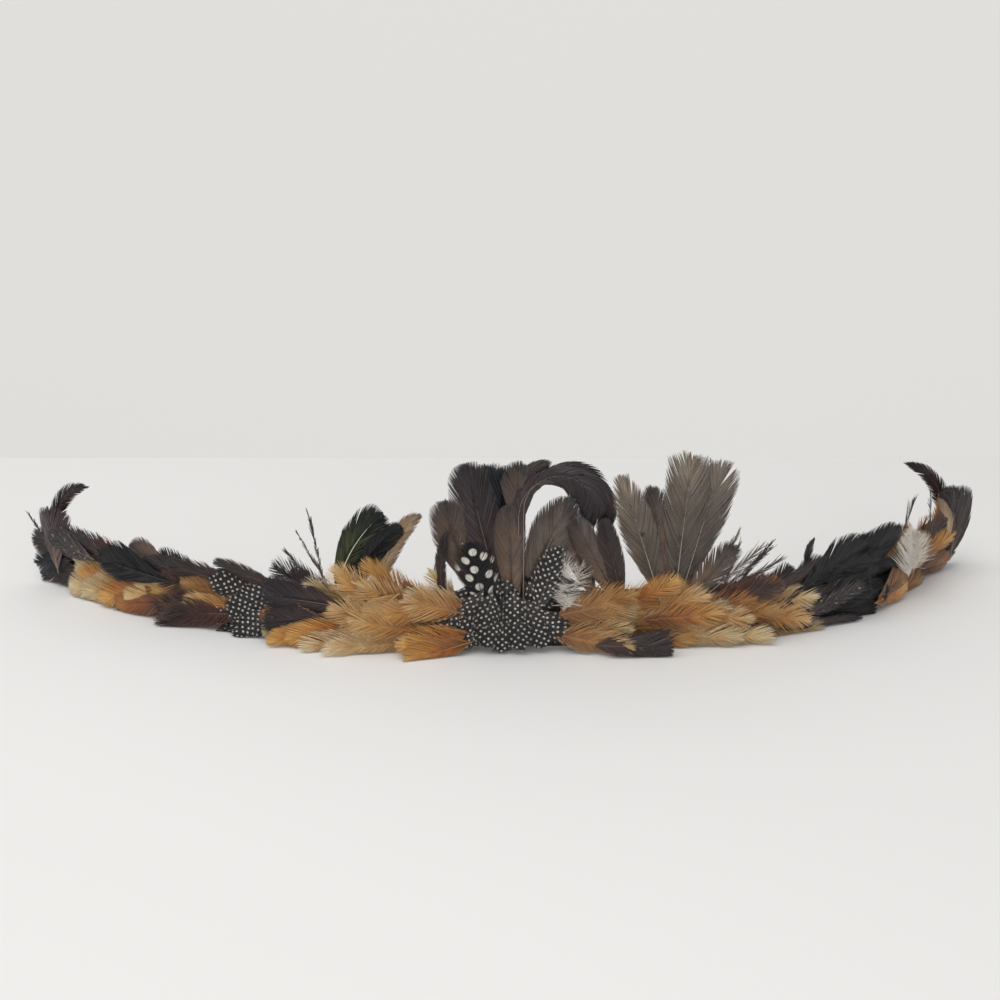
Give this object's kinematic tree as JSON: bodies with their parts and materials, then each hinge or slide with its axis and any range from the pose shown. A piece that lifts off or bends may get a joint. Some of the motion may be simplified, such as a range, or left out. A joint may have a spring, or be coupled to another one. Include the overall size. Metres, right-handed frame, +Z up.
{
  "type": "feather hat band",
  "caption": "Flexible felt strip with a ribbon lining, covered outside with overlapping glued feathers, a spotted rosette and upright plumes; wraps round a hat crown or head.",
  "frame": {"origin": "on the table under the middle of the felt strip, at the middle of its thickness", "axes": "+X along the strip to the wearer's left at its middle length, +Y into the crescent towards the head, +Z up"},
  "size_m": [0.5629, 0.1344, 0.1156],
  "materials": {
    "felt": "brushed wool felt",
    "lining": "ribbed ribbon",
    "ginger": "natural feather",
    "buff": "natural feather",
    "russet": "natural feather",
    "dark_brown": "natural feather",
    "black": "natural feather",
    "green_black": "natural feather",
    "brown_plume": "natural feather",
    "dark_plume": "natural feather",
    "grey_plume": "natural feather",
    "spotted": "natural feather",
    "white": "natural feather"
  },
  "bodies": {
    "centre": {"felt_centre": "felt", "lining_centre": "lining", "left_row_feather_1": "ginger", "right_row_feather_1": "ginger", "blue_black_plume": "dark_plume", "brown_plume_left": "brown_plume", "brown_plume_broad": "brown_plume", "dark_plume_broad": "dark_plume", "arched_plume": "dark_plume", "brown_plume_right": "brown_plume", "white_down_tuft": "white", "spotted_feather_lower_left": "spotted", "spotted_feather_lower_right": "spotted", "spotted_feather_right": "spotted", "large_spotted_feather": "spotted"},
    "left_inner": {"felt_left_inner": "felt", "lining_left_inner": "lining", "left_row_feather_2": "ginger", "left_row_feather_3": "buff", "left_row_feather_4": "ginger", "green_black_plume": "green_black", "buff_plume": "buff", "dark_tuft": "dark_brown"},
    "left_middle": {"felt_left_middle": "felt", "lining_left_middle": "lining", "left_row_feather_5": "spotted", "left_row_feather_6": "russet", "left_row_feather_7": "buff", "black_cap_feather": "black"},
    "left_outer": {"felt_left_outer": "felt", "lining_left_outer": "lining", "left_row_feather_8": "russet", "left_row_feather_9": "buff", "left_row_feather_10": "dark_brown", "left_end_plume": "dark_brown", "left_end_cover": "black"},
    "right_inner": {"felt_right_inner": "felt", "lining_right_inner": "lining", "right_row_feather_2": "ginger", "right_row_feather_3": "buff", "right_row_feather_4": "russet", "grey_plume_broad": "grey_plume", "grey_plume_second": "grey_plume", "grey_plume_third": "grey_plume", "grey_plume_left": "grey_plume", "grey_spike_plume": "grey_plume"},
    "right_middle": {"felt_right_middle": "felt", "lining_right_middle": "lining", "right_row_feather_5": "buff", "right_row_feather_6": "black", "right_row_feather_7": "black", "hooked_plume": "dark_brown", "black_plume_right": "black"},
    "right_outer": {"felt_right_outer": "felt", "lining_right_outer": "lining", "right_row_feather_8": "russet", "right_row_feather_9": "russet", "right_row_feather_10": "dark_brown", "right_end_plume": "dark_brown", "white_feather": "white"}
  },
  "joints": [
    {"name": "left_inner_fold", "type": "hinge", "parent": "centre", "child": "left_inner", "pos_m": [-0.043, 0.0022, 0.017], "axis": [0, 0, -1], "range_deg": [-8, 36]},
    {"name": "left_middle_fold", "type": "hinge", "parent": "left_inner", "child": "left_middle", "pos_m": [-0.12816, 0.01417, 0.017], "axis": [0, 0, -1], "range_deg": [-8, 36]},
    {"name": "left_outer_fold", "type": "hinge", "parent": "left_middle", "child": "left_outer", "pos_m": [-0.2079, 0.04639, 0.017], "axis": [0, 0, -1], "range_deg": [-8, 36]},
    {"name": "right_inner_fold", "type": "hinge", "parent": "centre", "child": "right_inner", "pos_m": [0.043, 0.0022, 0.017], "axis": [0, 0, 1], "range_deg": [-8, 36]},
    {"name": "right_middle_fold", "type": "hinge", "parent": "right_inner", "child": "right_middle", "pos_m": [0.12816, 0.01417, 0.017], "axis": [0, 0, 1], "range_deg": [-8, 36]},
    {"name": "right_outer_fold", "type": "hinge", "parent": "right_middle", "child": "right_outer", "pos_m": [0.20546, 0.05187, 0.017], "axis": [0, 0, 1], "range_deg": [-8, 36]}
  ],
  "couplings": [
    {"joint": "left_middle_fold", "follows": "left_inner_fold", "ratio": 1},
    {"joint": "left_outer_fold", "follows": "left_inner_fold", "ratio": 1},
    {"joint": "right_middle_fold", "follows": "right_inner_fold", "ratio": 1},
    {"joint": "right_outer_fold", "follows": "right_inner_fold", "ratio": 1}
  ]
}
